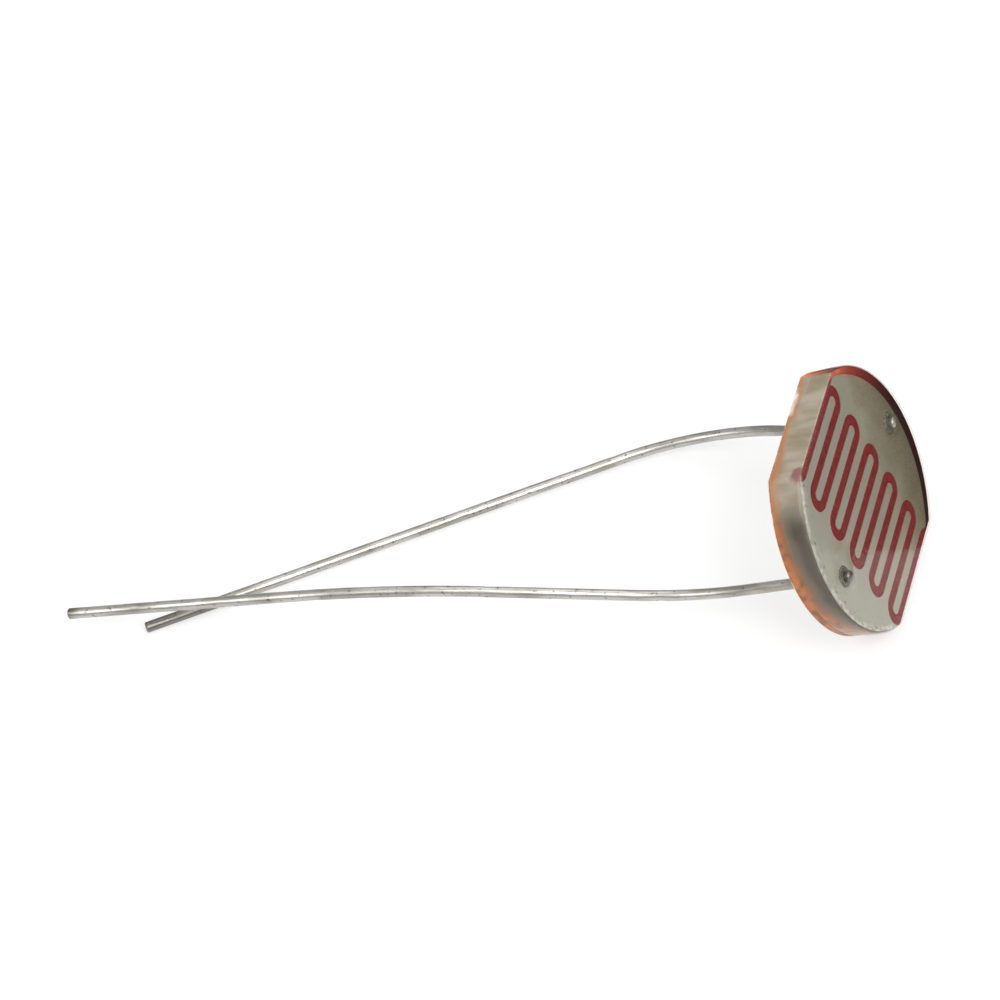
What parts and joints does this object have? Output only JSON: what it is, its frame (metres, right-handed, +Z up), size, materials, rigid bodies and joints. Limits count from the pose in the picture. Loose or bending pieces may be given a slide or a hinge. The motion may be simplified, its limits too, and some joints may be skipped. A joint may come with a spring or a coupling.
{
  "type": "photoresistor",
  "caption": "Disc photoresistor: flatted ceramic disc with a light-sensitive film under interleaved comb electrodes, clear resin coat and two bent wire leads.",
  "frame": {"origin": "middle of the part's footprint on the table it lies on", "axes": "+X from the wire ends to the disc, +Y along the line of the two leads on the disc, +Z up from the table"},
  "size_m": [0.0367, 0.0174, 0.0099],
  "materials": {
    "ceramic": "matte",
    "sensing_film": "matte",
    "metal_film": "satin",
    "tinned_wire": "satin",
    "contact_paste": "satin",
    "seal_resin": "gloss",
    "clear_resin": "gloss"
  },
  "bodies": {
    "root": {"ceramic_base": "ceramic", "cds_film": "sensing_film", "electrode_upper": "metal_film", "electrode_lower": "metal_film", "lead_front": "tinned_wire", "lead_rear": "tinned_wire", "contact_front": "contact_paste", "contact_rear": "contact_paste", "seal_front": "seal_resin", "seal_rear": "seal_resin", "clear_coat": "clear_resin"}
  },
  "joints": []
}
